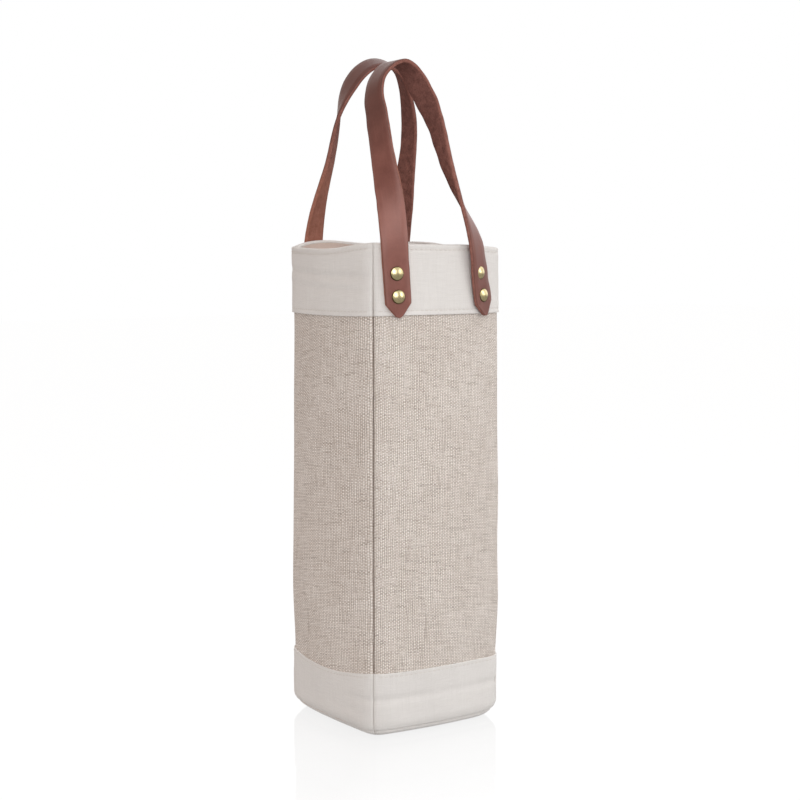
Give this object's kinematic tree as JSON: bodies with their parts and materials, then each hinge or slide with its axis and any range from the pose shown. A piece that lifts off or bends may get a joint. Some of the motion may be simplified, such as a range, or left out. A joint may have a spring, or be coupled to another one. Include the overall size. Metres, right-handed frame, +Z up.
{
  "type": "bottle carrier",
  "caption": "Tall square padded bottle bag in jute with a canvas cuff and base band, and riveted leather strap handles that swing outward.",
  "frame": {"origin": "on the floor under the middle of the bag's base", "axes": "+Z up through the mouth; the face with the front handle looks along -Y; +X to the right seen from the front"},
  "size_m": [0.124, 0.1299, 0.4643],
  "materials": {
    "jute": "plain weave, natural, uneven yarns",
    "canvas": "off-white cotton canvas",
    "padding": "soft wadding",
    "lining": "plain cotton",
    "board": "matt grey board",
    "leather": "satin red-brown, raw edges",
    "brass": "antiqued, domed"
  },
  "bodies": {
    "bag": {"jute_front": "jute", "padding_front": "padding", "lining_front": "lining", "cuff_front": "canvas", "base_band_front": "canvas", "jute_right": "jute", "padding_right": "padding", "lining_right": "lining", "cuff_right": "canvas", "base_band_right": "canvas", "jute_back": "jute", "padding_back": "padding", "lining_back": "lining", "cuff_back": "canvas", "base_band_back": "canvas", "jute_left": "jute", "padding_left": "padding", "lining_left": "lining", "cuff_left": "canvas", "base_band_left": "canvas", "base_panel": "canvas", "base_board": "board", "padding_base": "padding", "lining_base": "lining", "strap_end_front_left": "leather", "strap_end_front_right": "leather", "rivet_caps_front": "brass", "rivet_backs_front": "brass", "strap_end_back_left": "leather", "strap_end_back_right": "leather", "rivet_caps_back": "brass", "rivet_backs_back": "brass"},
    "front_handle": {"handle_loop_front": "leather"},
    "back_handle": {"handle_loop_back": "leather"}
  },
  "joints": [
    {"name": "front_handle_swing", "type": "hinge", "parent": "bag", "child": "front_handle", "pos_m": [0, -0.0652, 0.3356], "axis": [1, 0, 0], "range_deg": [-5, 110]},
    {"name": "back_handle_swing", "type": "hinge", "parent": "bag", "child": "back_handle", "pos_m": [0, 0.0652, 0.3356], "axis": [-1, 0, 0], "range_deg": [-5, 110]}
  ]
}
